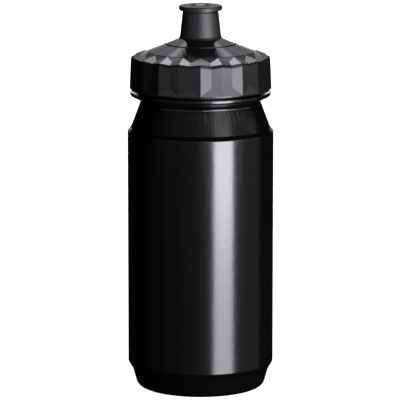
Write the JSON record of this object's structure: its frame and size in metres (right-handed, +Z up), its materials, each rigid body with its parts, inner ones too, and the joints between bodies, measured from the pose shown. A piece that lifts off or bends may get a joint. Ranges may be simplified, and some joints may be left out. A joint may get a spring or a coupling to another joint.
{
  "type": "sports squeeze bottle",
  "caption": "Squeeze bottle with a straight round body, sloping shoulder, faceted screw cap and a push-pull drinking spout that closes over a centre pin.",
  "frame": {"origin": "centre of the ring that the bottle stands on", "axes": "+Z up along the bottle's axis, from the base towards the spout; a ridge of the cap's grip faces -Y when the cap is screwed down"},
  "size_m": [0.074, 0.074, 0.1959],
  "materials": {
    "bottle": "semi-gloss moulded polyethylene, black",
    "cap": "fine matt moulded polypropylene, black",
    "spout": "satin moulded polyethylene, black",
    "seal": "soft silicone, dark grey"
  },
  "bodies": {
    "bottle": {"bottle_body": "bottle"},
    "gasket": {"cap_gasket": "seal"},
    "cap": {"cap_shell": "cap", "spout_tower": "cap", "tower_seal": "seal", "nozzle_seal": "seal"},
    "nozzle": {"spout_nozzle": "spout"}
  },
  "joints": [
    {"name": "cap_lift", "type": "slide", "parent": "bottle", "child": "gasket", "axis": [0, 0, 1], "range_m": [0, 0.01601]},
    {"name": "cap_turn", "type": "hinge", "parent": "gasket", "child": "cap", "pos_m": [0, 0, 0.16], "axis": [0, 0, 1], "range_deg": [0, 720]},
    {"name": "nozzle_pull", "type": "slide", "parent": "cap", "child": "nozzle", "axis": [0, 0, 1], "range_m": [0, 0.006]}
  ],
  "couplings": [
    {"joint": "cap_lift", "follows": "cap_turn", "m_per_rad": 0.0012732}
  ]
}
